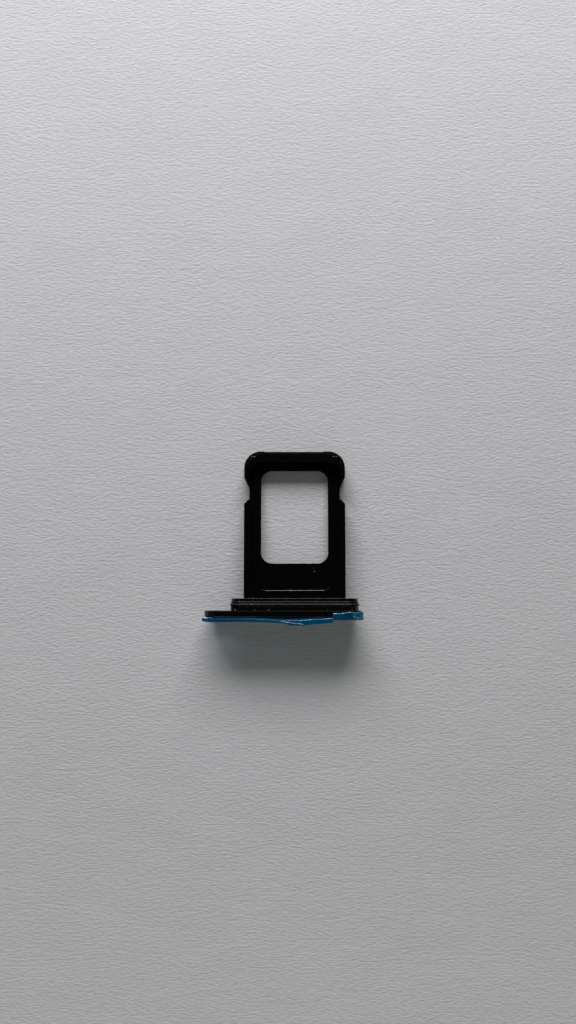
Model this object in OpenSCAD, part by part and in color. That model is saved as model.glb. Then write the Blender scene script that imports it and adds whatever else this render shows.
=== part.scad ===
// Card tray of a telephone: a thin metal carrier with a pocket for one small card, a rubber seal ring in the
// groove between a flange and the faceplate, and an eject pin hole. A thin blue film covers the faceplate.
// X runs along the faceplate, Y from the faceplate to the inner end, Z up from the side away from the card.
// The origin is on the carrier's middle line, at the seating face of the faceplate, at half its height.

/* [Card] */
// Width of the card that the pocket takes
card_w = 8.8; // [8.0:0.1:10.0]
// Length of the card
card_l = 12.3; // [11.5:0.1:14.0]
// Thickness of the card
card_t = 0.67; // [0.5:0.01:0.9]
// Free space between the card and each wall of the pocket
card_gap = 0.06; // [0.03:0.01:0.12]
// How far the card's upper face lies below the carrier's
card_sink = 0.05; // [0:0.01:0.1]

/* [Pocket] */
// Corner radius of the pocket at the inner end
pocket_inner_r = 1.0; // [0.4:0.1:1.4]
// Corner radius of the pocket at the faceplate's end
pocket_outer_r = 1.45; // [0.4:0.05:1.8]
// Leg of the pocket's cut corner
corner_cut = 1.4; // [0.8:0.1:1.9]
// Radius that softens both ends of the cut
corner_cut_r = 0.9; // [0.1:0.1:1.0]
// Thickness of the pocket's floor
floor_t = 0.33; // [0.2:0.01:0.5]

/* [Window] */
// Width of the floor left on each long side of the contact window
rim_side = 1.19; // [0.6:0.01:1.8]
// Width of the floor left at the inner end of the window
rim_inner = 0.77; // [0.4:0.01:1.6]
// Width of the floor left at the faceplate's end of the window
rim_outer = 2.58; // [1.0:0.01:3.5]
// Corner radius of the window
window_r = 1.05; // [0.3:0.05:1.5]

/* [Carrier] */
// Wall between the pocket and each long edge of the carrier
side_wall = 0.45; // [0.3:0.01:0.8]
// Rail between the pocket and the inner end
end_rail = 1.08; // [0.7:0.01:1.5]
// Solid land between the flange and the pocket
land_l = 0.8; // [0.4:0.05:2.0]
// Corner radius of the inner end
head_r = 1.6; // [0.8:0.1:2.0]
// Width of the shallow lead-in bevel round the inner end
lead_in_w = 0.3; // [0.1:0.01:0.35]
// How far that bevel falls at the carrier's edge
lead_in_fall = 0.07; // [0.03:0.01:0.15]
// Depth of the shallow relief in the middle of the inner end
relief_d = 0.05; // [0.02:0.01:0.15]
// Width of that relief
relief_w = 6.1; // [3.0:0.1:6.5]

/* [Detent notches] */
// Depth of each side notch
notch_d = 0.49; // [0.3:0.01:0.7]
// Length of the full width between the inner end and the notch's ramp
notch_from_end = 2.58; // [2.0:0.01:3.0]
// Length of the ramp
notch_ramp = 0.98; // [0.6:0.01:1.6]
// Length of the notch's flat bottom
notch_flat = 1.11; // [0.8:0.01:2.0]
// Radius where the ramp meets the bottom
notch_r = 0.5; // [0.1:0.1:0.8]

/* [Neck and seal ring] */
// Length of the seal ring along the neck
seal_l = 0.95; // [0.9:0.01:1.4]
// Rubber wall of the ring at its plain land
seal_wall = 0.46; // [0.35:0.01:0.7]
// Height of the sealing lip above the land
lip_rise = 0.19; // [0.1:0.01:0.3]
// Distance from the faceplate to the crest of the lip
lip_at = 0.55; // [0.45:0.01:0.62]
// Height of the bead and of the foot above the land
bead_rise = 0.06; // [0.02:0.01:0.08]
// Gap between the ring's bore and the neck
seal_fit = 0.02; // [0.01:0.01:0.05]
// How much wider the neck is than the carrier, on each side
neck_side = 0.75; // [0.4:0.01:1.2]
// How much higher the neck is than the carrier, on each face
neck_step = 0.025; // [0.02:0.005:0.1]
// Thickness of the flange that holds the ring on the neck
flange_t = 0.21; // [0.15:0.01:0.5]
// Height of the flange above the neck, all round
flange_step = 0.46; // [0.2:0.01:0.6]

/* [Faceplate] */
// Thickness of the faceplate
plate_t = 0.65; // [0.5:0.05:1.2]
// Rim of the faceplate outside the seal's lip
plate_rim = 0.16; // [0.1:0.01:0.5]
// Extra length of the faceplate on the side of the eject pin hole
pin_side = 2.25; // [1.8:0.05:4.0]
// Chamfer round the outer face
plate_chamfer = 0.12; // [0.05:0.01:0.2]
// Diameter of the eject pin hole
pin_hole_d = 1.0; // [0.8:0.05:1.2]

/* [Protective film] */
// Thickness of the film
film_t = 0.07; // [0.05:0.01:0.1]
// Thickness of the adhesive between the film and the metal
film_gap = 0.02; // [0.01:0.01:0.04]
// How far the film reaches past each end of the faceplate
film_past = 0.13; // [0.05:0.01:0.3]
// Strip of the faceplate left bare along its lower edge
film_bare = 0.15; // [0.1:0.01:0.4]
// Width of the free margin where it lies lowest
margin_w = 0.34; // [0.15:0.01:0.45]
// Extra width of the margin where it bulges out
bulge_w = 0.38; // [0.1:0.01:0.6]
// Half length of the bulge
bulge_half = 5.0; // [3.0:0.1:5.5]
// Height of the margin's edge above the faceplate
margin_rise = 0.2; // [0.1:0.01:0.35]
// Length of the tab that is folded over the faceplate
tab_l = 2.95; // [1.5:0.05:4.0]
// Gap between the tab's edge and the seating face of the faceplate
tab_short = 0.1; // [0.05:0.01:0.3]
// Height of the creases in the tab
tab_crease = 0.07; // [0.02:0.01:0.1]

/* [Hidden] */
$fn = 64;
// Steps in each rounded corner of an outline
arc_steps = 6;
// How far a cutting shape runs past what it cuts
past = 0.5;

pocket_w = card_w + 2 * card_gap;
pocket_l = card_l + 2 * card_gap;
carrier_w = pocket_w + 2 * side_wall;
carrier_t = floor_t + card_t + card_sink;
carrier_top = carrier_t / 2;
floor_z = floor_t - carrier_top;

flange_y = seal_l + flange_t;
pocket_y0 = flange_y + land_l;
pocket_y1 = pocket_y0 + pocket_l;
reach = pocket_y1 + end_rail;
window_y0 = pocket_y0 + rim_outer;
window_y1 = pocket_y1 - rim_inner;
window_w = pocket_w - 2 * rim_side;

neck_w = carrier_w + 2 * neck_side;
neck_h = carrier_t + 2 * neck_step;
land_r = neck_h / 2 + seal_wall;
lip_r = land_r + lip_rise;
ring_half_w = neck_w / 2 + seal_wall + lip_rise;

plate_h = 2 * (lip_r + plate_rim);
plate_short = ring_half_w + plate_rim;
plate_long = plate_short + pin_side;
plate_x = (plate_short - plate_long) / 2;
plate_straight = plate_short + plate_long - plate_h;
pin_x = plate_h / 2 - plate_long;

// Points of an arc of radius r that rounds the corner b between the points a and c
function unit(v) = v / norm(v);
function turned(v, t) = [v.x * cos(t) - v.y * sin(t), v.x * sin(t) + v.y * cos(t)];
function arc_points(a, b, c, r) =
    let (
        u = unit(a - b),
        v = unit(c - b),
        half = acos(u * v) / 2,
        centre = b + unit(u + v) * r / sin(half),
        first = b + u * r / tan(half) - centre,
        last = b + v * r / tan(half) - centre,
        way = sign(first.x * last.y - first.y * last.x)
    )
    [for (k = [0:arc_steps]) centre + turned(first, way * (180 - 2 * half) * k / arc_steps)];

// Outline through the corners [x, y, radius], each rounded by its own radius
function flat_point(p) = [p.x, p.y];
function rounded(corners) =
    let (n = len(corners))
    [for (i = [0:n - 1])
        each corners[i].z > 0
            ? arc_points(
                flat_point(corners[(i + n - 1) % n]),
                flat_point(corners[i]),
                flat_point(corners[(i + 1) % n]),
                corners[i].z)
            : [flat_point(corners[i])]];

module rounded_rectangle(w, l, r) {
    square([w - 2 * r, l], center = true);
    square([w, l - 2 * r], center = true);
    for (x = [-1, 1], y = [-1, 1])
        translate([x * (w / 2 - r), y * (l / 2 - r)])
            circle(r = r);
}

module pill(w, h) {
    square([w - h, h], center = true);
    for (x = [-1, 1])
        translate([x * (w - h) / 2, 0])
            circle(d = h);
}

// Extrudes a shape drawn in X and Z from one Y to another
module along_y(y0, y1) {
    translate([0, y1, 0])
        rotate([90, 0, 0])
            linear_extrude(y1 - y0)
                children();
}

// Sweeps a section drawn as [distance from the middle line, Y] round a pill of this straight length
module pill_sweep(straight) {
    for (side = [-1, 1]) {
        translate([side * straight / 2, 0, 0])
            rotate([-90, 0, 0])
                rotate([0, 0, -90 * side])
                    rotate_extrude(angle = 180)
                        children();
        rotate([0, 90 * side, 0])
            linear_extrude(straight, center = true)
                children();
    }
}

// Carrier: outline, pocket, window and lead-in

module notch_outline() {
    edge = carrier_w / 2;
    ramp_y = reach - notch_from_end;
    flat_y1 = ramp_y - notch_ramp;
    flat_y0 = flat_y1 - notch_flat;
    polygon(rounded([
        [edge + past, ramp_y + past * notch_ramp / notch_d, 0],
        [edge - notch_d, flat_y1, notch_r],
        [edge - notch_d, flat_y0, notch_r / 4],
        [edge + past, flat_y0 - notch_d - past, 0]
    ]));
}

module end_relief_outline() {
    polygon([
        [-relief_w / 2, reach + past],
        [-relief_w / 2, reach],
        [-relief_w / 2 + 4 * relief_d, reach - relief_d],
        [relief_w / 2 - 4 * relief_d, reach - relief_d],
        [relief_w / 2, reach],
        [relief_w / 2, reach + past]
    ]);
}

module carrier_outline() {
    difference() {
        union() {
            translate([-carrier_w / 2, 0])
                square([carrier_w, reach - head_r]);
            translate([head_r - carrier_w / 2, 0])
                square([carrier_w - 2 * head_r, reach]);
            for (side = [-1, 1])
                translate([side * (carrier_w / 2 - head_r), reach - head_r])
                    circle(r = head_r);
        }
        for (side = [0, 1])
            mirror([side, 0])
                notch_outline();
        end_relief_outline();
    }
}

module pocket_outline() {
    right = pocket_w / 2;
    polygon(rounded([
        [-right, pocket_y0, pocket_outer_r],
        [right - corner_cut, pocket_y0, corner_cut_r],
        [right, pocket_y0 + corner_cut, corner_cut_r],
        [right, pocket_y1, pocket_inner_r],
        [-right, pocket_y1, pocket_inner_r]
    ]));
}

// Section of the cut that bevels an upper edge, with the edge at the distance r from its middle line.
// The sloping side runs on past both ends of the bevel by the bevel's own width and fall.
module bevel_section(r) {
    polygon([
        [r - 2 * lead_in_w, carrier_top + lead_in_fall],
        [r + lead_in_w, carrier_top + lead_in_fall],
        [r + lead_in_w, carrier_top - 2 * lead_in_fall]
    ]);
}

module lead_in_cut() {
    end_w = carrier_w - 2 * head_r;
    side_l = notch_from_end + notch_ramp - head_r;
    translate([0, reach - head_r, 0])
        rotate([90, 0, 90])
            linear_extrude(end_w, center = true)
                bevel_section(head_r);
    for (side = [0, 1])
        mirror([side, 0, 0])
            translate([carrier_w / 2 - head_r, reach - head_r, 0]) {
                rotate_extrude(angle = 90)
                    bevel_section(head_r);
                rotate([90, 0, 0])
                    linear_extrude(side_l)
                        bevel_section(head_r);
            }
}

module carrier() {
    difference() {
        translate([0, 0, -carrier_top])
            linear_extrude(carrier_t)
                carrier_outline();
        translate([0, 0, floor_z])
            linear_extrude(carrier_t)
                pocket_outline();
        translate([0, (window_y0 + window_y1) / 2, -carrier_t])
            linear_extrude(2 * carrier_t)
                rounded_rectangle(window_w, window_y1 - window_y0, window_r);
        for (face = [0, 1])
            mirror([0, 0, face])
                lead_in_cut();
    }
}

// Neck, flange and faceplate

module neck() {
    along_y(-plate_t / 2, seal_l)
        pill(neck_w, neck_h);
    along_y(seal_l, flange_y)
        pill(neck_w + 2 * flange_step, neck_h + 2 * flange_step);
}

module faceplate() {
    edge = plate_h / 2;
    translate([plate_x, 0, 0])
        difference() {
            pill_sweep(plate_straight)
                polygon([
                    [0, -plate_t],
                    [edge - plate_chamfer, -plate_t],
                    [edge, plate_chamfer - plate_t],
                    [edge, -plate_chamfer / 3],
                    [edge - plate_chamfer / 3, 0],
                    [0, 0]
                ]);
            translate([pin_x - plate_x, 0, 0])
                rotate([90, 0, 0])
                    cylinder(h = 3 * plate_t, d = pin_hole_d, center = true);
        }
}

module tray_body() {
    color([0.03, 0.03, 0.035])
        union() {
            carrier();
            neck();
            faceplate();
        }
}

// Seal ring: a foot at the faceplate, a pointed sealing lip, and a bead at the inner side

module seal_section() {
    bore = neck_h / 2 + seal_fit;
    high = land_r + bead_rise;
    slope = (seal_l - lip_at) / 3;
    polygon(rounded([
        [bore, 0, 0],
        [high, 0, 0],
        [high, lip_at - slope, bead_rise],
        [lip_r, lip_at, lip_rise / 4],
        [land_r, lip_at + slope, bead_rise / 2],
        [high, lip_at + 1.6 * slope, bead_rise / 2],
        [high, seal_l - bead_rise, bead_rise / 2],
        [land_r - bead_rise, seal_l, 0],
        [bore, seal_l, 0]
    ]));
}

module seal_ring() {
    color([0.05, 0.05, 0.045])
        pill_sweep(neck_w - neck_h)
            seal_section();
}

// Protective film: a ribbon on the outer face with a free margin, and a tab folded over the top edge

film_x0 = -plate_long - film_past;
film_x1 = plate_short + film_past;
film_y = -plate_t - film_gap - film_t / 2;
film_top = plate_h / 2 + film_gap + film_t / 2;
tab_x0 = film_x1 - tab_l;
film_stations = 48;
tab_stations = 16;
// Length over which the free margin dies out beside the tab
margin_fade = 0.15;
// Number of creases across the tab
crease_count = 3.5;
// Share of the tab, from its free start, that stays level before it droops
tab_level = 0.45;
// How far the tab's end droops, as a share of the faceplate's half height
tab_droop = 0.55;

function mix(a, b, t) = a + (b - a) * t;
function clamp01(t) = min(1, max(0, t));
function smooth(t) = let (s = clamp01(t)) s * s * (3 - 2 * s);
// Even steps from 0 to 1 turned into ones that lie closer near both ends
function closer_at_ends(t) = (1 - cos(180 * t)) / 2;

// One in the middle of the bulge, falling smoothly to nothing at both its ends
function bulge(x) = smooth(1 - abs(x) / bulge_half);
// One along the free margin, nothing behind the tab
function margin_on(x) = smooth((tab_x0 + margin_fade - x) / margin_fade);
// How far the faceplate's round end has fallen away at x, as a share of its height
function end_fall(x) =
    let (u = clamp01((abs(x - plate_x) - plate_straight / 2) / (plate_h / 2 + film_past)))
    1 - sqrt(1 - u * u);

function margin_edge(x) =
    let (w = mix(film_t, margin_w + bulge_w * bulge(x), margin_on(x)))
    [film_y - w, film_top + margin_rise * mix(0.1, 1 - 0.5 * bulge(x), margin_on(x))];

// The film's middle line at x, as points [Y, Z] from its lower edge to the edge of its free margin
function film_line(x) =
    let (
        low = -(plate_h / 2 - film_bare) * (1 - end_fall(x)),
        lift = 0.35 * bulge_w * bulge(x),
        fold = [film_y - lift, film_top - plate_chamfer],
        edge = margin_edge(x)
    )
    [
        [film_y, low],
        [film_y, mix(low, fold.y, 0.3)],
        [film_y - 0.2 * lift, mix(low, fold.y, 0.6)],
        [film_y - 0.7 * lift, mix(low, fold.y, 0.85)],
        fold,
        mix(fold, edge, 0.5) + [0.02, 0.04],
        edge
    ];

// The tab's middle line at x, from the outer face over the top edge towards the seating face
function tab_line(x) =
    let (
        t = (x - tab_x0) / tab_l,
        drop = tab_droop * plate_h / 2 * pow(clamp01((t - tab_level) / (1 - tab_level)), 2),
        crease = tab_crease * (1 + sin(360 * crease_count * t)) / 2,
        top = film_top + film_t - drop,
        inner = -tab_short - 0.12 * (1 - t)
    )
    [
        [film_y - film_t / 4, plate_h / 2 - 2 * plate_chamfer - drop],
        [film_y - film_t / 4, top - plate_chamfer],
        [film_y + film_t, top + crease / 2],
        [mix(film_y, inner, 0.45), top + crease],
        [mix(film_y, inner, 0.75), top + 0.4 * crease],
        [inner, top + 0.8 * crease]
    ];

// Both faces of a thin sheet that follows a line of points
function side_way(line, j) =
    let (way = unit(line[min(j + 1, len(line) - 1)] - line[max(j - 1, 0)]))
    [-way.y, way.x];
function sheet_ring(line) =
    let (m = len(line))
    concat(
        [for (j = [0:m - 1]) line[j] + side_way(line, j) * film_t / 2],
        [for (j = [m - 1:-1:0]) line[j] - side_way(line, j) * film_t / 2]);

// A sheet through one ring of points [Y, Z] at each X of the list
module sheet(xs, rings) {
    n = len(xs);
    k = len(rings[0]);
    points = [for (i = [0:n - 1]) for (p = rings[i]) [xs[i], p.x, p.y]];
    walls = [for (i = [0:n - 2]) for (j = [0:k - 1])
        let (a = i * k + j, b = i * k + (j + 1) % k)
        each [[a, b, a + k], [b, b + k, a + k]]];
    first = [for (j = [0:k / 2 - 2])
        each [[j, k - 1 - j, j + 1], [j + 1, k - 1 - j, k - 2 - j]]];
    last = [for (f = first) [f[0], f[2], f[1]] + [1, 1, 1] * (n - 1) * k];
    polyhedron(points, concat(walls, first, last));
}

module protective_film() {
    film_xs = [for (i = [0:film_stations]) mix(film_x0, film_x1, closer_at_ends(i / film_stations))];
    tab_xs = [for (i = [0:tab_stations]) mix(tab_x0, film_x1, i / tab_stations)];
    color([0.05, 0.35, 0.5, 0.7])
        union() {
            sheet(film_xs, [for (x = film_xs) sheet_ring(film_line(x))]);
            sheet(tab_xs, [for (x = tab_xs) sheet_ring(tab_line(x))]);
        }
}

tray_body();
seal_ring();
protective_film();
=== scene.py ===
"""Looks of a phone's card tray: black anodised metal, a rubber seal ring and a blue film.

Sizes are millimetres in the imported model's own frame, where X runs along the faceplate, Y from the
faceplate's seating face to the inner end, and Z up out of the card pocket. Meshes and the finishes'
depths and scales are in metres.
"""

import logging
import math
from dataclasses import dataclass
from enum import Enum
from typing import Callable, Sequence

import bmesh
import bpy
from mathutils import Matrix, Vector, noise


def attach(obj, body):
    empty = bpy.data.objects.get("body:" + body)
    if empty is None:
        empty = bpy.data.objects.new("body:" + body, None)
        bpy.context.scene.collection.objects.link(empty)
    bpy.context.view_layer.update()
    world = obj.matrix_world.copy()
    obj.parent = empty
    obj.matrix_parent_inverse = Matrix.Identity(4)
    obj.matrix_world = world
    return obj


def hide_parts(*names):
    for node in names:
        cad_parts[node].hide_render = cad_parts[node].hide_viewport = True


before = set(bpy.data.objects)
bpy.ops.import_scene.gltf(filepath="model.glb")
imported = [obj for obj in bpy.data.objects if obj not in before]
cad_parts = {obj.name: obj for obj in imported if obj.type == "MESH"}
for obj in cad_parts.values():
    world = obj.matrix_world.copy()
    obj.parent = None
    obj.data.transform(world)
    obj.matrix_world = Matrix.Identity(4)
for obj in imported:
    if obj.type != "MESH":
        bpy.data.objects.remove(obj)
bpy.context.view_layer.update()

MM = 0.001
# Points of a mesh that are closer than this, in millimetres, become one.
RING_DOUBLES = 0.0005
FILM_DOUBLES = 0.0001
LOG = logging.getLogger("card_tray")

Point = tuple[float, float]
Span = tuple[float, float]
Colour = tuple[float, float, float]
Inputs = dict[str | int, object]


class Node(Enum):
    """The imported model's nodes that a dressed piece stands for."""

    TRAY = "tray_body"
    SEAL = "seal_ring"
    FILM = "protective_film"


class Slot(Enum):
    """The record's material slots."""

    METAL = "black_metal"
    RUBBER = "seal_rubber"
    FILM = "blue_film"


# Small helpers.


def smooth(t: float) -> float:
    """Zero below 0, one above 1, and an even S between."""
    s = min(1.0, max(0.0, t))
    return s * s * (3.0 - 2.0 * s)


def mix(a: float, b: float, t: float) -> float:
    """Value a share t of the way from a to b."""
    return a + (b - a) * t


def ramp(x: float, span: Span) -> float:
    """Zero up to the span's start and one past its length, given as start and length."""
    return smooth((x - span[0]) / span[1])


def along(knots: Sequence[Point], x: float) -> float:
    """Reads a smooth curve through knots.

    Args:
        knots: Pairs of place and value, in rising order of place.
        x: Place to read at.

    Returns:
        The value at x, flat beyond both ends.
    """
    if x <= knots[0][0]:
        return knots[0][1]
    for (x0, v0), (x1, v1) in zip(knots, knots[1:]):
        if x <= x1:
            return mix(v0, v1, smooth((x - x0) / (x1 - x0)))
    return knots[-1][1]


def spline(points: Sequence[Point], t: float) -> Point:
    """Point on a Catmull-Rom curve through points, at the share t of its spans."""
    spans = len(points) - 1
    place = min(max(t, 0.0), 1.0) * spans
    i = min(int(place), spans - 1)
    u = place - i
    p0, p1 = points[max(i - 1, 0)], points[i]
    p2, p3 = points[i + 1], points[min(i + 2, spans)]
    return tuple(
        0.5
        * (
            2 * b
            + (c - a) * u
            + (2 * a - 5 * b + 4 * c - d) * u * u
            + (3 * b - a - 3 * c + d) * u**3
        )
        for a, b, c, d in zip(p0, p1, p2, p3)
    )


def bent(line: Sequence[tuple[float, float, float]], t: float) -> Point:
    """Point on a line with sharp bends.

    Args:
        line: The bends, each as its share of the whole line and its two coordinates.
        t: Share of the line to read at.

    Returns:
        The point's two coordinates.
    """
    for (t0, a0, b0), (t1, a1, b1) in zip(line, line[1:]):
        if t <= t1:
            share = max(0.0, (t - t0) / (t1 - t0))
            return (mix(a0, a1, share), mix(b0, b1, share))
    return line[-1][1:]


def new_object(name: str, data: bpy.types.ID) -> bpy.types.Object:
    """Links a new object that holds a mesh, a light or a camera, unmoved at the origin."""
    piece = bpy.data.objects.new(name, data)
    bpy.context.scene.collection.objects.link(piece)
    return piece


def bake(piece: bpy.types.Object) -> None:
    """Turns a piece's modifiers into its plain mesh and removes them."""
    bpy.context.view_layer.update()
    graph = bpy.context.evaluated_depsgraph_get()
    mesh = bpy.data.meshes.new_from_object(piece.evaluated_get(graph), depsgraph=graph)
    piece.modifiers.clear()
    piece.data = mesh


def dress(piece: bpy.types.Object, material: bpy.types.Material) -> None:
    """Gives a piece its one material."""
    piece.data.materials.clear()
    piece.data.materials.append(material)


def seat(piece: bpy.types.Object, node: Node) -> None:
    """Puts a piece in the place of its CAD node.

    Args:
        piece: The dressed piece.
        node: The CAD node that it stands for.
    """
    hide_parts(node.value)
    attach(piece, "root")
    LOG.info("%s: %d faces for %s", piece.name, len(piece.data.polygons), node.value)


# Shader wiring.


class Wiring:
    """Adds nodes to one node tree and links them."""

    # A Mix node keeps its colour sockets after those of its other kinds of value.
    MIX_SHARE, MIX_FIRST, MIX_SECOND, MIX_RESULT = 0, 6, 7, 2

    def __init__(self, tree: bpy.types.NodeTree) -> None:
        """Keeps the tree that the nodes go into."""
        self.tree = tree

    def add(self, kind: str, fed: Inputs | None = None, **settings: object) -> bpy.types.Node:
        """Adds a node.

        Args:
            kind: The node's type.
            fed: Inputs to feed, each by its name or number, with a socket or a plain value.
            **settings: The node's properties.

        Returns:
            The new node.
        """
        node = self.tree.nodes.new(kind)
        for name, value in settings.items():
            setattr(node, name, value)
        for label, value in (fed or {}).items():
            self.feed(node.inputs[label], value)
        return node

    def place(self) -> bpy.types.NodeSocket:
        """Place on the piece, in metres in its own frame."""
        return self.add("ShaderNodeTexCoord").outputs["Object"]

    def parts(self, vector: bpy.types.NodeSocket) -> bpy.types.NodeOutputs:
        """The X, Y and Z outputs of a vector."""
        return self.add("ShaderNodeSeparateXYZ", {0: vector}).outputs

    def feed(self, target: bpy.types.NodeSocket, value: object) -> None:
        """Links a socket to target, or sets target to a plain value."""
        if isinstance(value, bpy.types.NodeSocket):
            self.tree.links.new(value, target)
        else:
            target.default_value = value

    def math(self, operation: str, *values: object) -> bpy.types.NodeSocket:
        """Output of a Math node over sockets or numbers."""
        return self.add("ShaderNodeMath", dict(enumerate(values)), operation=operation).outputs[0]

    def span(
        self,
        value: object,
        low: object,
        high: object,
        to_low: object = 0.0,
        to_high: object = 1.0,
    ) -> bpy.types.NodeSocket:
        """Maps a value from one span to another, clamped and smooth at both ends."""
        labels = ("Value", "From Min", "From Max", "To Min", "To Max")
        fed = dict(zip(labels, (value, low, high, to_low, to_high)))
        return self.add("ShaderNodeMapRange", fed, interpolation_type="SMOOTHSTEP").outputs[0]

    def blend(self, share: object, first: object, second: object) -> bpy.types.NodeSocket:
        """Colour a share of the way from first to second."""
        node = self.add("ShaderNodeMix", data_type="RGBA")
        self.feed(node.inputs[self.MIX_SHARE], share)
        for place, item in ((self.MIX_FIRST, first), (self.MIX_SECOND, second)):
            self.feed(node.inputs[place], (*item, 1.0) if isinstance(item, tuple) else item)
        return node.outputs[self.MIX_RESULT]

    def group(self, tree: bpy.types.NodeTree, **inputs: float) -> bpy.types.Node:
        """Places a node group with these values for its inputs."""
        return self.add("ShaderNodeGroup", inputs, node_tree=tree)


def new_group(
    name: str, inputs: dict[str, float], outputs: Sequence[str]
) -> tuple[Wiring, dict, dict]:
    """Starts a shader node group.

    Args:
        name: Name of the group.
        inputs: Each input's name and its default value.
        outputs: Name of each output value.

    Returns:
        The group's wiring, its input sockets by name and its output sockets by name.
    """
    tree = bpy.data.node_groups.new(name, "ShaderNodeTree")
    for label, value in inputs.items():
        socket = tree.interface.new_socket(label, in_out="INPUT", socket_type="NodeSocketFloat")
        socket.default_value = value
    for label in outputs:
        tree.interface.new_socket(label, in_out="OUTPUT", socket_type="NodeSocketFloat")
    wires = Wiring(tree)
    start = wires.add("NodeGroupInput")
    end = wires.add("NodeGroupOutput")
    return wires, {s.name: s for s in start.outputs}, {s.name: s for s in end.inputs}


class Effects:
    """Shader node groups that the finishes share."""

    FINE_DETAIL, SLOW_DETAIL = 3.0, 2.0
    SLOW_SCALE = 0.07
    GRAIN_SPAN = (0.3, 0.7)
    BEVEL_SAMPLES = 6
    EDGE_SPAN = (0.8, 0.995)
    BREAK_SPAN = (0.35, 0.6)
    LEAST_WEAR = 0.25
    LOOKS_UP = 0.4
    MARK_RIM = (0.4, 1.0)
    MARKED_ABOVE = -0.0005

    def __init__(self) -> None:
        """Builds every group once."""
        self.grain = self.build_grain()
        self.wear = self.build_wear()
        self.dust = self.build_dust()
        self.mark = self.build_mark()

    def build_grain(self) -> bpy.types.NodeTree:
        """Fine grain with a slower drift under it.

        Scale is in grains a metre, and Squeeze below one stretches the grains along X.
        """
        start = {"Scale": 9000.0, "Drift": 0.35, "Squeeze": 1.0}
        wires, given, out = new_group("fine_grain", start, ["Grain", "Height"])
        across = wires.add("ShaderNodeCombineXYZ", {"X": given["Squeeze"], "Y": 1.0, "Z": 1.0})
        fed = {0: wires.place(), 1: across.outputs[0]}
        place = wires.add("ShaderNodeVectorMath", fed, operation="MULTIPLY").outputs[0]
        fed = {"Vector": place, "Scale": given["Scale"], "Detail": self.FINE_DETAIL}
        fine = wires.add("ShaderNodeTexNoise", fed)
        scale = wires.math("MULTIPLY", given["Scale"], self.SLOW_SCALE)
        fed = {"Vector": place, "Scale": scale, "Detail": self.SLOW_DETAIL}
        slow = wires.add("ShaderNodeTexNoise", fed)
        drift = wires.math("MULTIPLY", slow.outputs[0], given["Drift"])
        both = wires.math("ADD", fine.outputs[0], drift)
        share = wires.math("DIVIDE", both, wires.math("ADD", given["Drift"], 1.0))
        wires.feed(out["Grain"], wires.span(share, *self.GRAIN_SPAN))
        wires.feed(out["Height"], share)
        return wires.tree

    def build_wear(self) -> bpy.types.NodeTree:
        """Mask that is high along rounded edges, broken up by noise. Radius is in metres."""
        wires, given, out = new_group("edge_wear", {"Radius": 0.00006, "Breaks": 2500.0}, ["Edge"])
        soft = wires.add("ShaderNodeBevel", {"Radius": given["Radius"]}, samples=self.BEVEL_SAMPLES)
        flat = wires.add("ShaderNodeNewGeometry").outputs["True Normal"]
        fed = {0: soft.outputs[0], 1: flat}
        facing = wires.add("ShaderNodeVectorMath", fed, operation="DOT_PRODUCT")
        broken = wires.add("ShaderNodeTexNoise", {"Vector": wires.place(), "Scale": given["Breaks"]})
        edge = wires.span(facing.outputs["Value"], *self.EDGE_SPAN, 1.0, 0.0)
        worn = wires.span(broken.outputs[0], *self.BREAK_SPAN, self.LEAST_WEAR)
        wires.feed(out["Edge"], wires.math("MULTIPLY", edge, worn))
        return wires.tree

    def build_dust(self) -> bpy.types.NodeTree:
        """Mask of scattered flecks on faces that look up.

        Spacing is in cells a metre, Size a share of a cell, and Share how many cells hold a fleck.
        """
        start = {"Spacing": 1400.0, "Size": 0.08, "Share": 0.1}
        wires, given, out = new_group("dust_flecks", start, ["Flecks"])
        fed = {"Vector": wires.place(), "Scale": given["Spacing"]}
        cells = wires.add("ShaderNodeTexVoronoi", fed)
        split = wires.add("ShaderNodeSeparateColor", {0: cells.outputs["Color"]})
        size = wires.math("MULTIPLY", given["Size"], split.outputs[1])
        near = wires.math("LESS_THAN", cells.outputs["Distance"], size)
        chosen = wires.math("LESS_THAN", split.outputs[0], given["Share"])
        turned = wires.parts(wires.add("ShaderNodeNewGeometry").outputs["Normal"])
        up = wires.math("GREATER_THAN", turned["Z"], self.LOOKS_UP)
        wires.feed(out["Flecks"], wires.math("MULTIPLY", wires.math("MULTIPLY", near, chosen), up))
        return wires.tree

    def build_mark(self) -> bpy.types.NodeTree:
        """Mask of one small oval mark at X, Y on the upper side, with its half sizes, all in metres."""
        start = {"X": 0.0, "Y": 0.0, "Long": 0.00005, "Wide": 0.00005, "Strength": 1.0}
        wires, given, out = new_group("oval_mark", start, ["Mark"])
        place = wires.parts(wires.place())
        far = 0.0
        for axis, half in (("X", "Long"), ("Y", "Wide")):
            away = wires.math("SUBTRACT", place[axis], given[axis])
            away = wires.math("DIVIDE", away, given[half])
            far = wires.math("ADD", wires.math("MULTIPLY", away, away), far)
        inside = wires.span(far, *self.MARK_RIM, 1.0, 0.0)
        upper = wires.math("GREATER_THAN", place["Z"], self.MARKED_ABOVE)
        inside = wires.math("MULTIPLY", inside, upper)
        wires.feed(out["Mark"], wires.math("MULTIPLY", inside, given["Strength"]))
        return wires.tree


@dataclass(frozen=True)
class Mark:
    """One small oval mark on a finish: its middle and half sizes along X and Y in millimetres, and its
    strength.
    """

    x: float
    y: float
    long: float
    wide: float
    strength: float = 1.0


def new_material(name: str) -> tuple[bpy.types.Material, Wiring, bpy.types.Node]:
    """Starts a node material and returns it with its wiring and its shader."""
    material = bpy.data.materials.new(name)
    material.use_nodes = True
    wires = Wiring(material.node_tree)
    return material, wires, material.node_tree.nodes["Principled BSDF"]


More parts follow.
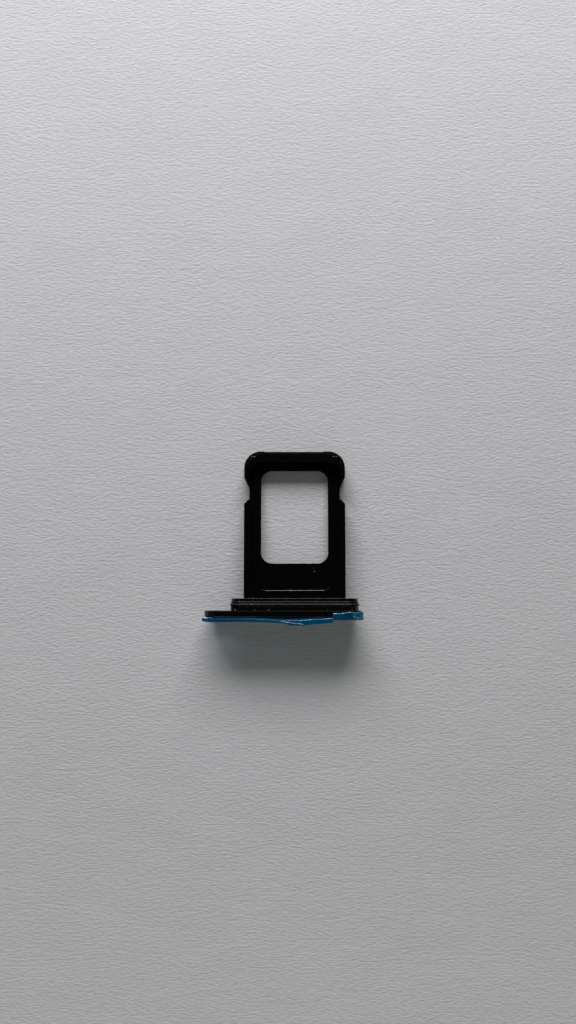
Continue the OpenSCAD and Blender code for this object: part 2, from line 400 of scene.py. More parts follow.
def bump(wires: Wiring, height: bpy.types.NodeSocket, depth: float) -> bpy.types.NodeSocket:
    """Normal of a surface raised by height times depth, in metres."""
    return wires.add("ShaderNodeBump", {"Distance": depth, "Height": height}).outputs["Normal"]


# Finishes.


@dataclass(frozen=True)
class DarkFinish:
    """Glossy dark surface with fine grain, paler worn edges, scattered flecks and single marks.

    Grain and wear are in metres, and spacing is in cells a metre. Gloss is the shader's specular level.
    """

    name: str
    base: Colour
    edge: Colour
    marked: Colour
    roughness: Span
    gloss: float
    grain_scale: float
    grain_drift: float
    grain_depth: float
    wear_breaks: float
    dust_spacing: float
    dust_share: float
    marks: tuple[Mark, ...]
    wear_radius: float = 0.00004

    def material(self, effects: Effects) -> bpy.types.Material:
        """Builds the material from the shared effects."""
        material, wires, shader = new_material(self.name)
        grain = wires.group(effects.grain, Scale=self.grain_scale, Drift=self.grain_drift)
        wear = wires.group(effects.wear, Radius=self.wear_radius, Breaks=self.wear_breaks)
        marks = mark_mask(wires, effects, self.marks, self.dust_spacing, self.dust_share)
        colour = wires.blend(wear.outputs["Edge"], self.base, self.edge)
        wires.feed(shader.inputs["Base Color"], wires.blend(marks, colour, self.marked))
        rough = wires.span(grain.outputs["Grain"], 0.0, 1.0, *self.roughness)
        wires.feed(shader.inputs["Roughness"], wires.math("MAXIMUM", rough, marks))
        wires.feed(shader.inputs["Normal"], bump(wires, grain.outputs["Height"], self.grain_depth))
        shader.inputs["Specular IOR Level"].default_value = self.gloss
        return material


# Smooth deep black anodised metal with two dust specks on the pocket floor, and pale marks that are
# painted highlights at the inner end's corners and, faintly, along the pocket's right wall.
BLACK_ANODISED = DarkFinish(
    name="black_anodised_metal",
    base=(0.0019, 0.0022, 0.0024),
    edge=(0.0050, 0.0052, 0.0054),
    # Pale colour of the marks, for the dust specks and for the painted highlights.
    marked=(0.30, 0.31, 0.30),
    roughness=(0.15, 0.21),
    gloss=0.5,
    grain_scale=11000.0,
    grain_drift=0.35,
    grain_depth=0.0000008,
    wear_breaks=1800.0,
    dust_spacing=900.0,
    dust_share=0.02,
    marks=(
        # Dust specks on the pocket floor.
        Mark(1.93, 3.77, 0.05, 0.05),
        Mark(1.84, 4.08, 0.02, 0.03, 0.4),
        # Painted highlights: glints on the rounded edges at the inner end's corners.
        Mark(-3.93, 14.93, 0.15, 0.045, 0.62),
        Mark(-4.14, 14.93, 0.09, 0.04, 0.40),
        Mark(-4.24, 14.70, 0.07, 0.06, 0.12),
        Mark(-4.55, 14.32, 0.05, 0.07, 0.06),
        Mark(3.80, 14.94, 0.11, 0.045, 0.55),
        Mark(4.09, 14.95, 0.10, 0.05, 0.35),
        Mark(4.58, 14.36, 0.06, 0.07, 0.06),
        # Painted highlight: a faint glint along the pocket's right wall.
        Mark(4.36, 7.6, 0.05, 0.16, 0.05),
    ),
)

# Moulded black rubber with a faint olive cast and some dust.
SEAL_RUBBER = DarkFinish(
    name="seal_rubber",
    base=(0.0016, 0.0018, 0.0013),
    edge=(0.008, 0.009, 0.007),
    marked=(0.40, 0.41, 0.37),
    roughness=(0.20, 0.28),
    gloss=0.26,
    grain_scale=6000.0,
    grain_drift=0.8,
    grain_depth=0.000003,
    wear_breaks=1200.0,
    dust_spacing=2600.0,
    dust_share=0.03,
    marks=(
        Mark(-5.70, 0.09, 0.09, 0.06),
        Mark(-3.79, 0.09, 0.05, 0.05, 0.6),
        Mark(-2.46, 0.09, 0.06, 0.06),
        Mark(3.13, 0.10, 0.05, 0.05, 0.4),
        Mark(5.51, 0.10, 0.07, 0.05, 0.7),
        Mark(5.89, 0.10, 0.07, 0.07),
        Mark(-5.28, 0.86, 0.06, 0.04, 0.35),
        Mark(-4.13, 0.62, 0.08, 0.04, 0.35),
    ),
)


@dataclass(frozen=True)
class BlueFilm:
    """Thin glossy blue film that lets light through.

    It is deeper in places at random. Its folds and edges get a pale tint, a painted highlight for the
    light they catch, and its crumpled end gets a pale tint broken into facets, painted light that shines
    through it and off its facets. Passes is the share of the light that goes on through it into its
    shadow.
    """

    deep: Colour = (0.002, 0.092, 0.235)
    blue: Colour = (0.003, 0.205, 0.36)
    # Pale tint of painted light, on folds and edges and at the crumpled end.
    pale: Colour = (0.02, 0.42, 0.56)
    roughness: Span = (0.10, 0.20)
    see_through: float = 0.74
    passes: float = 0.78
    gloss: float = 0.33
    # Painted light at the crumpled end: where along X it comes in, how strong it is, and the size of its
    # lit and shaded facets.
    crumpled: Span = (5.7, 6.2)
    crumpled_painted_light: float = 0.75
    patch_scale: float = 520.0
    patch_drift: float = 0.3
    lit_facet_scale: float = 2100.0
    lit_facet_drift: float = 0.2
    grain_scale: float = 1500.0
    grain_drift: float = 0.6
    grain_depth: float = 0.000005
    wear_radius: float = 0.00003
    wear_breaks: float = 3000.0

    def material(self, effects: Effects) -> bpy.types.Material:
        """Builds the material from the shared effects."""
        material, wires, shader = new_material("blue_film")
        grain = wires.group(effects.grain, Scale=self.grain_scale, Drift=self.grain_drift)
        patch = wires.group(effects.grain, Scale=self.patch_scale, Drift=self.patch_drift)
        # The edge mask picks out folds and edges for a painted highlight in the pale tint.
        wear = wires.group(effects.wear, Radius=self.wear_radius, Breaks=self.wear_breaks)
        # Painted light at the crumpled end, where light shines through with no metal behind: a pale tint
        # broken into lit and shaded facets.
        low, high = (edge * MM for edge in self.crumpled)
        lit_facets = wires.group(effects.grain, Scale=self.lit_facet_scale, Drift=self.lit_facet_drift)
        end = wires.span(wires.parts(wires.place())["X"], low, high, 0.0, self.crumpled_painted_light)
        end = wires.math("MULTIPLY", end, lit_facets.outputs["Grain"])
        body = wires.blend(patch.outputs["Grain"], self.deep, self.blue)
        # The pale tint is painted light: highlights on folds and edges, and the crumpled end's light.
        body = wires.blend(wires.math("MAXIMUM", wear.outputs["Edge"], end), body, self.pale)
        wires.feed(shader.inputs["Base Color"], body)
        rough = wires.span(grain.outputs["Grain"], 0.0, 1.0, *self.roughness)
        wires.feed(shader.inputs["Roughness"], rough)
        wires.feed(shader.inputs["Normal"], bump(wires, grain.outputs["Height"], self.grain_depth))
        shadow = wires.add("ShaderNodeLightPath").outputs["Is Shadow Ray"]
        passed = wires.math("MULTIPLY", shadow, self.passes)
        wires.feed(shader.inputs["Alpha"], wires.math("SUBTRACT", 1.0, passed))
        shader.inputs["Transmission Weight"].default_value = self.see_through
        shader.inputs["Specular IOR Level"].default_value = self.gloss
        return material


@dataclass(frozen=True)
class PalePaper:
    """Pale uncoated paper for the floor, with a fine uneven grain."""

    pale: Colour = (0.80, 0.795, 0.825)
    shade: Colour = (0.66, 0.66, 0.68)
    shade_share: float = 0.25
    grain_scale: float = 5200.0
    grain_drift: float = 0.5
    squeeze: float = 0.4
    grain_depth: float = 0.000070
    roughness: float = 0.9
    gloss: float = 0.1

    def material(self, effects: Effects) -> bpy.types.Material:
        """Builds the material from the shared effects."""
        material, wires, shader = new_material("pale_paper")
        grain = wires.group(
            effects.grain, Scale=self.grain_scale, Drift=self.grain_drift, Squeeze=self.squeeze
        )
        tone = wires.span(grain.outputs["Grain"], 0.0, 1.0, 0.0, self.shade_share)
        wires.feed(shader.inputs["Base Color"], wires.blend(tone, self.pale, self.shade))
        wires.feed(shader.inputs["Normal"], bump(wires, grain.outputs["Height"], self.grain_depth))
        shader.inputs["Roughness"].default_value = self.roughness
        shader.inputs["Specular IOR Level"].default_value = self.gloss
        return material


def mark_mask(
    wires: Wiring,
    effects: Effects,
    marks: Sequence[Mark],
    spacing: float,
    share: float,
) -> bpy.types.NodeSocket:
    """Joins scattered flecks of dust and single marks into one mask.

    Args:
        wires: Wiring of the material.
        effects: The shared node groups.
        marks: The single marks.
        spacing: Cells a metre of the scattered flecks.
        share: Share of the cells that hold a fleck.

    Returns:
        The mask, up to one on a mark and nothing elsewhere.
    """
    mask = wires.group(effects.dust, Spacing=spacing, Share=share).outputs[0]
    for mark in marks:
        one = wires.group(
            effects.mark,
            X=mark.x * MM,
            Y=mark.y * MM,
            Long=mark.long * MM,
            Wide=mark.wide * MM,
            Strength=mark.strength,
        )
        mask = wires.math("MAXIMUM", mask, one.outputs[0])
    return mask


# Metal tray.


@dataclass
class MetalTray:
    """The one-piece metal tray: the CAD solid with each kind of edge rounded by its own small radius.

    Places are millimetres and angles degrees. Window, pocket and notch say where those edges lie: how
    far out along X, and from which Y to which. The pocket's edge nearest the faceplate has a wide
    rounding that catches the light. It dies out over glint_fade at both its ends.
    """

    name: str = "metal_tray"
    merge: float = 0.01
    flat_angle: float = 0.4
    round_angle: float = 25.0
    crisp_angle: float = 9.5
    segments: int = 3
    at_floor: float = -0.145
    window: tuple[float, float, float] = (3.31, 4.48, 13.66)
    pocket: tuple[float, float, float] = (4.475, 1.93, 14.41)
    outer_corner: float = 3.7
    notch: tuple[float, float, float] = (4.30, 9.9, 13.2)
    flange_y: Span = (0.93, 1.18)
    plate_y: float = 0.05
    crisp_edge: float = 0.014
    corner_edge: float = 0.003
    glint_edge: float = 0.11
    glint_half: float = 3.35
    glint_fade: float = 0.4
    glint_run: Span = (0.25, 0.75)
    flange_edge: float = 0.018
    plate_edge: float = 0.04

    def rounding(self, edge: bmesh.types.BMEdge) -> float:
        """Radius of one sharp edge in millimetres, by where it lies and how it runs."""
        middle = (edge.verts[0].co + edge.verts[1].co) / 2 / MM
        x, y, z = abs(middle.x), middle.y, middle.z
        half, y0, y1 = self.window
        if x < half and y0 < y < y1 and z < self.at_floor:
            return self.crisp_edge
        if x > self.notch[0] and self.notch[1] < y < self.notch[2]:
            return 0.0
        half, y0, y1 = self.pocket
        if x < half and y0 < y < y1:
            if z < self.at_floor:
                return 0.0
            if y > self.outer_corner:
                return self.crisp_edge
            run = (edge.verts[1].co - edge.verts[0].co).normalized()
            low, high = self.glint_run
            ahead = smooth((abs(run.x) - low) / (high - low))
            ahead *= smooth((self.glint_half - x) / self.glint_fade)
            return mix(self.corner_edge, self.glint_edge, ahead)
        if y < self.plate_y:
            return self.plate_edge
        if self.flange_y[0] < y < self.flange_y[1]:
            return self.flange_edge
        return self.crisp_edge

    def build(self) -> bpy.types.Object:
        """Makes the piece from a merged copy of the CAD mesh."""
        work = bmesh.new()
        work.from_mesh(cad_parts[Node.TRAY.value].data)
        bmesh.ops.remove_doubles(work, verts=work.verts, dist=self.merge * MM)
        bmesh.ops.dissolve_limit(
            work,
            angle_limit=math.radians(self.flat_angle),
            verts=work.verts,
            edges=work.edges,
            delimit={"NORMAL"},
        )
        weights = work.edges.layers.float.new("bevel_weight_edge")
        for edge in work.edges:
            turn = math.degrees(edge.calc_face_angle(0.0))
            edge.smooth = turn < self.crisp_angle
            if turn > self.round_angle:
                edge[weights] = self.rounding(edge) / self.glint_edge
        for face in work.faces:
            face.smooth = True
        mesh = bpy.data.meshes.new(self.name)
        work.to_mesh(mesh)
        work.free()
        piece = new_object(self.name, mesh)
        bevel = piece.modifiers.new("edge_rounding", "BEVEL")
        bevel.limit_method = "WEIGHT"
        bevel.width = self.glint_edge * MM
        bevel.segments = self.segments
        bevel.harden_normals = True
        bevel.use_clamp_overlap = False
        bevel.miter_outer = "MITER_ARC"
        bake(piece)
        return piece

    def make(self, material: bpy.types.Material) -> bpy.types.Object:
        """Builds, dresses and seats the tray."""
        piece = self.build()
        dress(piece, material)
        seat(piece, Node.TRAY)
        return piece


# Rubber seal ring.


@dataclass
class SealRing:
    """The rubber ring: one moulded section that Geometry Nodes sweep round the pill-shaped neck.

    Heights in the section are millimetres above the bore, and places along Y are millimetres from the
    faceplate. The land is the height between the bead and the lip.
    """

    # The rounded ends' radius, as a share of the path's height: a hair under half keeps corners apart.
    END_SHARE = 0.4999

    name: str = "rubber_seal"
    straight: float = 10.22
    bore: float = 0.57
    land: float = 0.44
    length: float = 0.95
    bead: float = 0.06
    bead_at: float = 0.815
    bead_r: float = 0.080
    lip: float = 0.18
    lip_at: float = 0.547
    lip_foot: float = 0.74
    lip_back: float = 0.42
    crown: float = 0.035
    foot_end: float = 0.03
    wave: float = 0.008
    wave_scale: float = 900.0
    steps: int = 48
    bead_turn: Span = (90.0, -65.0)
    bead_steps: int = 16
    lip_turn: Span = (48.0, -70.0)
    lip_steps: int = 10
    cut: float = 0.02
    blend: float = 0.03
    step_cut: float = 0.004
    step_hold: float = 0.010
    near_hold: float = 0.005
    foot_round: Point = (0.010, 0.008)
    lip_heel: Point = (0.012, 0.015)

    def section(self) -> list[Point]:
        """Outline of the section, as pairs of distance above the bore and place along Y.

        Points close beside a corner hold the smoothed shading there, so that its glint stays narrow.
        """
        high = self.land + self.bead
        top = self.land + self.lip
        step = high - self.bead_r
        end = self.length
        return [
            (0.0, self.cut),
            (0.0, end - self.cut),
            (self.cut, end),
            (step - self.blend, end),
            (step - self.step_cut, end),
            (step, end - self.step_cut),
            (step, end - self.step_hold),
            (step, self.bead_at + self.bead_r + self.near_hold),
            *self.arc(step, self.bead_at, self.bead_r, *self.bead_turn, self.bead_steps),
            (self.land, self.lip_foot),
            (self.land + self.lip_heel[0], self.lip_foot - self.lip_heel[1]),
            *self.arc(top - self.crown, self.lip_at, self.crown, *self.lip_turn, self.lip_steps),
            (high + self.blend, self.lip_back + self.blend),
            (high, self.lip_back),
            (high, self.foot_end),
            (high - self.foot_round[0], self.foot_round[1]),
            (high - self.blend, 0.0),
            (self.cut, 0.0),
        ]

    @staticmethod
    def arc(
        height: float, y: float, radius: float, start: float, end: float, steps: int
    ) -> list[Point]:
        """Round crest about a middle point, between two angles in degrees from straight up to +Y."""
        angles = [math.radians(mix(start, end, k / steps)) for k in range(steps + 1)]
        return [(height + radius * math.cos(a), y + radius * math.sin(a)) for a in angles]

    def tree(self, material: bpy.types.Material) -> bpy.types.NodeTree:
        """Node tree that sweeps the input outline round a pill-shaped path.

        Args:
            material: Finish that the tree sets on the result.

        Returns:
            The tree, with its sizes as named inputs.
        """
        tree = bpy.data.node_groups.new("sweep_round_pill", "GeometryNodeTree")
        tree.interface.new_socket("Section", in_out="INPUT", socket_type="NodeSocketGeometry")
        for label in ("Width", "Height", "Wave", "Wave Scale"):
            tree.interface.new_socket(label, in_out="INPUT", socket_type="NodeSocketFloat")
        tree.interface.new_socket("End Steps", in_out="INPUT", socket_type="NodeSocketInt")
        tree.interface.new_socket("Ring", in_out="OUTPUT", socket_type="NodeSocketGeometry")
        wires = Wiring(tree)
        given = wires.add("NodeGroupInput").outputs
        size = {"Width": given["Width"], "Height": given["Height"]}
        path = wires.add("GeometryNodeCurvePrimitiveQuadrilateral", size, mode="RECTANGLE")
        fed = {
            "Curve": path.outputs[0],
            "Count": given["End Steps"],
            "Radius": wires.math("MULTIPLY", given["Height"], self.END_SHARE),
            "Limit Radius": True,
        }
        turn = wires.add("GeometryNodeFilletCurve", fed, mode="POLY")
        steady = wires.add("GeometryNodeSetCurveNormal", {"Curve": turn.outputs[0]}, mode="Z_UP")
        line = wires.add("GeometryNodeMeshToCurve", {"Mesh": given["Section"]})
        fed = {"Curve": steady.outputs[0], "Profile Curve": line.outputs[0]}
        sweep = wires.add("GeometryNodeCurveToMesh", fed)
        fed = {"Geometry": sweep.outputs[0], "Rotation": (math.radians(90), 0.0, 0.0)}
        stand = wires.add("GeometryNodeTransform", fed)
        here = wires.add("GeometryNodeInputPosition").outputs[0]
        ripple = wires.add("ShaderNodeTexNoise", {"Vector": here, "Scale": given["Wave Scale"]})
        lift = wires.math("SUBTRACT", ripple.outputs[0], 0.5)
        lift = wires.math("MULTIPLY", lift, given["Wave"])
        fed = {0: wires.add("GeometryNodeInputNormal").outputs[0], "Scale": lift}
        push = wires.add("ShaderNodeVectorMath", fed, operation="SCALE")
        fed = {"Geometry": stand.outputs[0], "Offset": push.outputs[0]}
        waved = wires.add("GeometryNodeSetPosition", fed)
        shade = wires.add("GeometryNodeSetShadeSmooth", {"Geometry": waved.outputs[0]})
        real = wires.add("GeometryNodeRealizeInstances", {"Geometry": shade.outputs[0]})
        fed = {"Geometry": real.outputs[0], "Material": material}
        paint = wires.add("GeometryNodeSetMaterial", fed)
        wires.add("NodeGroupOutput", {"Ring": paint.outputs[0]})
        return tree

    def make(self, material: bpy.types.Material) -> bpy.types.Object:
        """Sweeps, dresses and seats the ring."""
        outline = self.section()
        mesh = bpy.data.meshes.new(self.name)
        count = len(outline)
        mesh.from_pydata(
            [(r * MM, y * MM, 0.0) for r, y in outline],
            [(i, (i + 1) % count) for i in range(count)],
            [],
        )
        piece = new_object(self.name, mesh)
        sweep = piece.modifiers.new("sweep", "NODES")
        tree = self.tree(material)
        values = {
            "Width": (self.straight + 2 * self.bore) * MM,
            "Height": 2 * self.bore * MM,
            "Wave": self.wave * MM,
            "Wave Scale": self.wave_scale,
            "End Steps": self.steps,
        }
        for item in tree.interface.items_tree:
            if item.item_type == "SOCKET" and item.name in values:
                values[item.identifier] = values.pop(item.name)
        sweep.node_group = tree
        for identifier, value in values.items():
            sweep[identifier] = value
        bake(piece)
        outward(piece.data)
        dress(piece, material)
        seat(piece, Node.SEAL)
        return piece


def outward(mesh: bpy.types.Mesh) -> None:
    """Merges a closed mesh's doubles and turns its faces outward."""
    work = bmesh.new()
    work.from_mesh(mesh)
    bmesh.ops.remove_doubles(work, verts=work.verts, dist=RING_DOUBLES * MM)
    bmesh.ops.recalc_face_normals(work, faces=work.faces)
    work.to_mesh(mesh)
    work.free()


# Blue film.


@dataclass(frozen=True)
class Crease:
    """A sharp fold in the film along a line of points X and distance out from the faceplate."""

    points: tuple[Point, ...]
    height: float
    half_width: float

    def ends(self, x: float, fade: float) -> float:
        """One along the fold, dying out over this length at both its ends."""
        first, last = self.points[0][0], self.points[-1][0]
        return smooth((x - first) / fade) * smooth((last - x) / fade)


@dataclass(frozen=True)
class Ripple:
    """One layer of unevenness: its strength, the size of its wrinkles in millimetres, and its seed."""

    strength: float
    size: float
    seed: float

    def at(self, x: float, z: float = 0.0) -> float:
        """Even noise at a place on the film, between about plus and minus the strength."""
        return self.strength * noise.noise(Vector((x / self.size, z / self.size, self.seed)))


@dataclass
class ProtectiveFilm:
    """The film on the faceplate's outer face: its free margin, its creases and its folded tab.

    Knots are pairs of X and a length in millimetres: how far out the margin's edge reaches, how far out
    its knee lies, and how wide the knee's shining flat is.
    """

    name: str = "blue_film"
    left: float = -8.80
    right: float = 6.57
    tab_from: float = 3.63
    face_y: float = -0.70
    low: float = -1.20
    leaves_at: float = 1.10
    top_limit: float = 1.60
    plate_middle: float = -1.125
    plate_straight: float = 12.47
    plate_half: float = 1.36
    thickness: float = 0.045
    columns: int = 400
    face_rows: int = 22
    upper_rows: int = 44
    reach_knots: tuple[Point, ...] = (
        (-8.8, 0.31), (-7.8, 0.37), (-5.1, 0.35), (-2.9, 0.38),
        (-1.3, 0.45), (-0.2, 0.69), (0.5, 0.71), (2.2, 0.55),
        (3.6, 0.43),
    )
    knee_knots: tuple[Point, ...] = (
        (-8.8, -0.06), (-8.1, -0.05), (-7.6, 0.09), (-5.1, 0.05),
        (-4.0, 0.09), (-2.9, 0.14), (-1.6, 0.24), (-0.4, 0.26),
        (0.55, 0.235), (1.5, 0.16), (2.25, 0.12), (3.4, 0.05),
        (3.6, 0.04),
    )
    shine_knots: tuple[Point, ...] = (
        (-8.8, 0.050), (-8.1, 0.045), (-7.7, 0.008), (-5.1, 0.008),
        (-2.9, 0.014), (-1.6, 0.008), (-0.9, 0.020), (0.55, 0.032),
        (1.5, 0.030), (2.25, 0.025), (3.4, 0.055),
    )
    shine_slope: float = 0.67
    climb: float = 0.365
    knee_limit: float = -0.12
    margin_shares: tuple[float, float, float] = (0.35, 0.45, 0.7)
    margin_lift: Point = (0.015, 0.01)
    creases: tuple[Crease, ...] = (
        Crease(((-1.5, 0.26), (-1.2, 0.31), (-0.8, 0.42), (0.0, 0.52), (1.0, 0.63)), 0.052, 0.062),
        Crease(((-8.75, 0.05), (-8.00, 0.02)), 0.052, 0.075),
    )
    crease_fade: float = 0.25
    crease_base: float = 0.9
    end_past: float = 0.14
    bubble_from: float = 0.25
    bubble_depth: float = 0.03
    tab_inner: Span = (-0.235, -0.15)
    tab_inner_span: Span = (0.15, 0.35)
    tab_shine: Span = (0.082, 0.03)
    tab_shine_span: Span = (0.35, 0.25)
    tab_belly: Point = (-0.18, 1.34)
    tab_turn: Point = (-0.06, 1.475)
    tab_top: Point = (0.55, 1.47)
    tab_inner_top: float = 1.472
    tab_roll_at: float = 0.85
    droop: float = 0.55
    droop_from: float = 0.5
    crumple_span: Span = (0.6, 0.2)
    crumple_height: float = 0.36
    crumple_least: float = 0.04
    crumple_sink: float = 0.3
    fold_rise: float = 0.3
    fold_turns: Point = (3.0, 2.5)
    tab_sink: float = 0.01
    tab_floor: float = 1.395
    uneven_foot: Ripple = Ripple(0.02, 1.7, 3.0)
    uneven_bubble: Ripple = Ripple(1.0, 0.9, 7.0)
    uneven_reach: Ripple = Ripple(0.012, 0.6, 11.0)
    uneven_knee: Ripple = Ripple(0.008, 0.8, 13.0)
    uneven_shine: Ripple = Ripple(0.5, 0.3, 17.0)
    uneven_top: Ripple = Ripple(0.02, 1.1, 5.0)
    uneven_margin: Ripple = Ripple(0.010, 0.45, 9.0)
    uneven_crease: Ripple = Ripple(0.5, 0.22, 41.0)
    uneven_inner: Ripple = Ripple(0.02, 0.5, 21.0)
    wide_folds: Ripple = Ripple(1.0, 0.55, 31.0)
    fine_folds: Ripple = Ripple(1.1, 0.22, 37.0)

    def end_fall(self, x: float) -> float:
        """How far the faceplate's round end has fallen away at x, as a share of its half height."""
        past = abs(x - self.plate_middle) - self.plate_straight / 2
        share = min(1.0, max(0.0, past / (self.plate_half + self.end_past)))
        return 1.0 - math.sqrt(1.0 - share * share)

    def ridge(self, x: float, out: float) -> float:
        """Height that the creases add at x and this distance out from the faceplate."""
        total = 0.0
        for crease in self.creases:
            far = abs(out - along(crease.points, x)) / crease.half_width
            uneven = self.crease_base + self.uneven_crease.at(x)
            ends = crease.ends(x, self.crease_fade)
            total += crease.height * uneven * max(0.0, 1.0 - far) * ends
        return total

    def face_point(self, x: float, t: float) -> Point:
        """Place on the stuck part at x, from its lower edge at t = 0 to where it comes free at 1."""
        foot = self.low * (1.0 - self.end_fall(x)) + self.uneven_foot.at(x)
        z = mix(foot, self.leaves_at, t)
        bubble = max(0.0, self.uneven_bubble.at(x, z) - self.bubble_from)
        return (self.face_y - self.bubble_depth * bubble, z)

    def margin_point(self, x: float, t: float) -> Point:
        """Place on the free margin at x, from where it leaves the metal at t = 0 to its edge at 1.

        The margin climbs steeply from the metal, bends at the knee and then lies nearly level. The
        knee is a narrow flat that leans towards the light, as wide as its shine. At the left end it
        lies above the metal's round end, a little further in than the outer face.
        """
        reach = along(self.reach_knots, x) + self.uneven_reach.at(x)
        knee = along(self.knee_knots, x) + self.uneven_knee.at(x)
        shine = along(self.shine_knots, x) * (1.0 + self.uneven_shine.at(x))
        top = self.leaves_at + self.climb + self.uneven_top.at(x)
        inner = max(self.knee_limit, knee - shine / 2)
        to_inner, to_outer, to_middle = self.margin_shares
        profile = (
            (0.0, self.face_y, self.leaves_at),
            (to_inner, self.face_y - inner, top - self.shine_slope * shine),
            (to_outer, self.face_y - knee - shine / 2, top),
            (to_middle, self.face_y - mix(knee, reach, 0.5), top + self.margin_lift[0]),
            (1.0, self.face_y - reach, top + self.margin_lift[1]),
        )
        y, z = bent(profile, t)
        lift = self.ridge(x, self.face_y - y) + t * self.uneven_margin.at(x, 2 * t)
        return (y, min(z + lift, self.top_limit))

    def tab_point(self, x: float, t: float) -> Point:
        """Place on the folded tab at x, from the outer face at t = 0 to its free edge at 1.

        The tab bellies out, turns over the top edge and lies level on it, and its free edge rolls down
        towards the light. Towards its right end it droops with the metal's round end and crumples.
        """
        share = (x - self.tab_from) / (self.right - self.tab_from)
        inner = mix(*self.tab_inner, ramp(share, self.tab_inner_span)) + self.uneven_inner.at(x)
        shine = mix(*self.tab_shine, ramp(share, self.tab_shine_span))
        far = max(0.0, (share - self.droop_from) / (1.0 - self.droop_from))
        crumple = ramp(share, self.crumple_span)
        level, level_z = self.tab_top
        base = (
            (self.face_y, self.leaves_at),
            (self.face_y + self.tab_belly[0], self.tab_belly[1]),
            (self.face_y + self.tab_turn[0], self.tab_turn[1]),
            (mix(self.face_y, inner, level), level_z),
            (inner - shine, self.tab_inner_top),
        )
        y, z = spline(base, t / self.tab_roll_at)
        past = max(0.0, (t - self.tab_roll_at) / (1.0 - self.tab_roll_at))
        y, z = y + shine * past, z - self.shine_slope * shine * past
        wide, fine = self.fold_turns
        folds = abs(self.wide_folds.at(x, wide * t)) + abs(self.fine_folds.at(x, fine * t))
        height = self.crumple_height * mix(self.crumple_least, 1.0, crumple)
        rise = height * (folds - self.crumple_sink * crumple) - self.tab_sink
        z += smooth(t / self.fold_rise) * rise
        z = max(z, min(self.tab_floor, mix(self.leaves_at, self.top_limit, t)))
        return (y, min(z, self.top_limit) - self.droop * self.plate_half * far**2)

    def surface(self) -> bpy.types.Mesh:
        """Middle surface of the film, split between the free margin and the tab."""
        upper: Callable[[float, float], Point]
        cuts = [mix(self.left, self.right, i / self.columns) for i in range(self.columns + 1)]
        split = min(range(len(cuts)), key=lambda i: abs(cuts[i] - self.tab_from))
        lines = [(x, self.margin_point) for x in cuts[: split + 1]]
        lines += [(x, self.tab_point) for x in cuts[split:]]
        rows = self.face_rows + self.upper_rows + 1
        points, faces = [], []
        for x, upper in lines:
            for k in range(rows):
                if k <= self.face_rows:
                    y, z = self.face_point(x, k / self.face_rows)
                else:
                    y, z = upper(x, (k - self.face_rows) / self.upper_rows)
                points.append((x * MM, y * MM, z * MM))
        for i in range(len(lines) - 1):
            if i == split:
                continue
            for k in range(rows - 1):
                a = i * rows + k
                faces.append((a, a + rows, a + rows + 1, a + 1))
        mesh = bpy.data.meshes.new(self.name)
        mesh.from_pydata(points, [], faces)
        work = bmesh.new()
        work.from_mesh(mesh)
        bmesh.ops.remove_doubles(work, verts=work.verts, dist=FILM_DOUBLES * MM)
        for face in work.faces:
            face.smooth = True
        work.to_mesh(mesh)
        work.free()
        return mesh

    def make(self, material: bpy.types.Material) -> bpy.types.Object:
        """Builds, thickens, dresses and seats the film."""
        piece = new_object(self.name, self.surface())
        wall = piece.modifiers.new("wall", "SOLIDIFY")
        wall.thickness = self.thickness * MM
        wall.offset = 0.0
        bake(piece)
        dress(piece, material)
        seat(piece, Node.FILM)
        return piece


# Floor, light and camera.


@dataclass(frozen=True)
class Panel:
    """An upright soft light that faces the tray.

    Lengths are millimetres: away is how far it stands beyond the point under the camera, negative on the
    near side, left how far it is shifted to the left, and low and high are its edges above the floor.
    """

    name: str
    away: float
    left: float
    width: float
    low: float
    high: float
    power: float
    colour: Colour


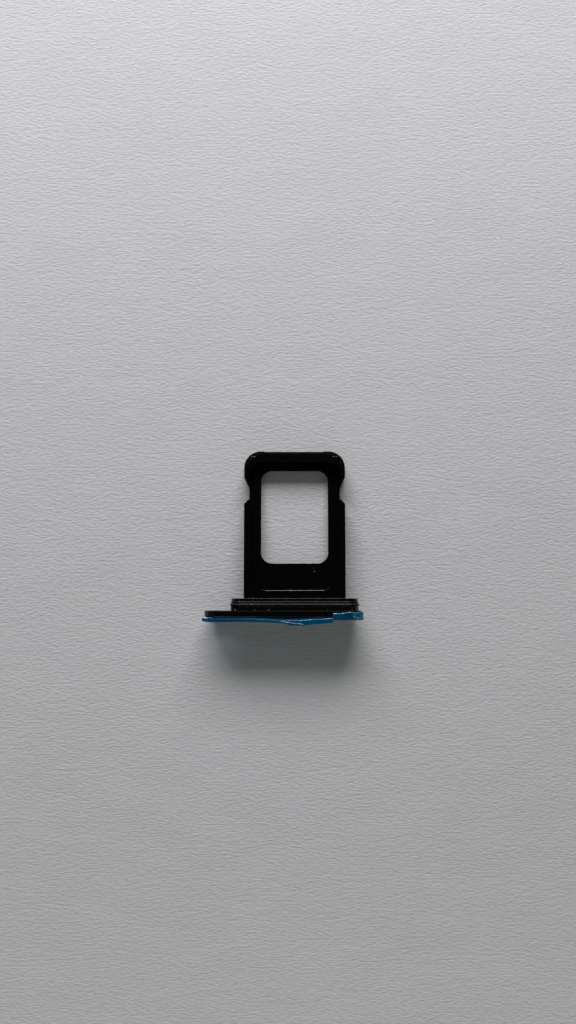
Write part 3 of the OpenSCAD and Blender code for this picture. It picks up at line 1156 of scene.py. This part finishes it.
@dataclass
class Studio:
    """Pale floor that the tray lies on, soft light mostly from beyond its inner end, and the camera.

    The floor passes under the faceplate's lower edge and the inner end's lower edge, so it leans a
    little in the tray's frame. The camera looks down on it, pitched a little towards the inner end.
    """

    plate_rest: Point = (-0.04, -1.36)
    head_rest: Point = (15.16, -0.525)
    floor_half: float = 700.0
    floor_gap: float = 0.003
    camera_at: Point = (-0.6435, 6.526)
    camera_height: float = 85.0
    camera_pitch: float = 2.05
    lens: float = 30.32
    sensor: float = 36.0
    clip: Span = (0.002, 10.0)
    ambient: float = 0.195
    overhead: float = 0.008
    side_share: float = 0.36
    room: Colour = (0.98, 1.06, 0.88)
    backdrop: float = 0.3
    backdrop_colour: Colour = (1.0, 1.0, 1.0)
    overhead_span: Span = (0.6, 0.93)
    side_span: Span = (-0.7, 0.1)
    panels: tuple[Panel, ...] = (
        Panel("window_light", 220.0, 24.0, 246.0, 50.0, 124.0, 0.85, (0.998, 0.983, 1.006)),
        Panel("near_bounce", -58.5, 0.0, 200.0, 10.0, 30.0, 0.0064, (1.0, 0.98, 1.0)),
    )

    def axes(self) -> Matrix:
        """Rotation whose columns are the floor's own right, far and up directions."""
        (plate_y, plate_z), (head_y, head_z) = self.plate_rest, self.head_rest
        far = Vector((0.0, head_y - plate_y, head_z - plate_z)).normalized()
        right = Vector((1.0, 0.0, 0.0))
        return Matrix((right, far, right.cross(far))).transposed()

    def place(self, x: float, y: float, height: float) -> Vector:
        """Turns a place measured on the floor, in millimetres, into the tray's frame in metres."""
        axes = self.axes()
        rest = axes.transposed() @ Vector((0.0, *self.plate_rest))
        return axes @ Vector((x, y, rest.z + height)) * MM

    def add_floor(self, material: bpy.types.Material) -> None:
        """Adds the floor."""
        corners = [(-1, -1), (1, -1), (1, 1), (-1, 1)]
        half = self.floor_half
        mesh = bpy.data.meshes.new("paper_floor")
        points = [self.place(half * x, half * y, -self.floor_gap) for x, y in corners]
        mesh.from_pydata(points, [], [(0, 1, 2, 3)])
        floor = new_object("paper_floor", mesh)
        dress(floor, material)

    def add_panel(self, panel: Panel) -> None:
        """Adds one soft light, seen only in what it lights."""
        data = bpy.data.lights.new(panel.name, "AREA")
        data.shape = "RECTANGLE"
        data.size = panel.width * MM
        data.size_y = (panel.high - panel.low) * MM
        data.energy = panel.power
        data.color = panel.colour
        light = new_object(panel.name, data)
        x, y = self.camera_at
        light.location = self.place(x - panel.left, y + panel.away, (panel.low + panel.high) / 2)
        outwards = self.axes() @ Vector((0.0, math.copysign(1.0, panel.away), 0.0))
        light.rotation_euler = outwards.to_track_quat("Z", "Y").to_euler()
        light.visible_camera = False

    def add_world(self) -> None:
        """Adds weak room light, strongest from the near side and dying out overhead, and a backdrop."""
        world = bpy.data.worlds.new("room")
        bpy.context.scene.world = world
        world.use_nodes = True
        wires = Wiring(world.node_tree)
        shader = world.node_tree.nodes["Background"]
        way = wires.parts(wires.add("ShaderNodeTexCoord").outputs["Generated"])
        glow = wires.span(way["Z"], *self.overhead_span, self.ambient, self.overhead)
        share = wires.span(way["Y"], *self.side_span, 1.0, self.side_share)
        seen = wires.add("ShaderNodeLightPath").outputs["Is Camera Ray"]
        lit = wires.math("MULTIPLY", glow, share)
        shown = wires.math("MULTIPLY", seen, self.backdrop)
        wires.feed(shader.inputs["Strength"], wires.math("ADD", lit, shown))
        wires.feed(shader.inputs["Color"], wires.blend(seen, self.room, self.backdrop_colour))

    def add_camera(self) -> None:
        """Adds the camera above the floor."""
        data = bpy.data.cameras.new("camera")
        data.sensor_width = self.sensor
        data.lens = self.lens
        data.clip_start, data.clip_end = self.clip
        camera = new_object("camera", data)
        turn = self.axes().to_4x4() @ Matrix.Rotation(math.radians(self.camera_pitch), 4, "X")
        at = self.place(*self.camera_at, self.camera_height)
        camera.matrix_world = Matrix.Translation(at) @ turn
        bpy.context.scene.camera = camera

    def make(self, material: bpy.types.Material) -> None:
        """Builds the whole studio."""
        self.add_floor(material)
        for panel in self.panels:
            self.add_panel(panel)
        self.add_world()
        self.add_camera()
        bpy.context.scene.view_settings.view_transform = "Standard"
        LOG.info("studio: floor, %d soft lights, room light and camera", len(self.panels))


def main() -> None:
    """Builds the tray, its seal, its film and the studio, and reports each piece."""
    logging.basicConfig(level=logging.INFO, format="%(name)s: %(message)s")
    effects = Effects()
    MetalTray().make(BLACK_ANODISED.material(effects))
    SealRing().make(SEAL_RUBBER.material(effects))
    ProtectiveFilm().make(BlueFilm().material(effects))
    Studio().make(PalePaper().material(effects))


if __name__ == "__main__":
    main()
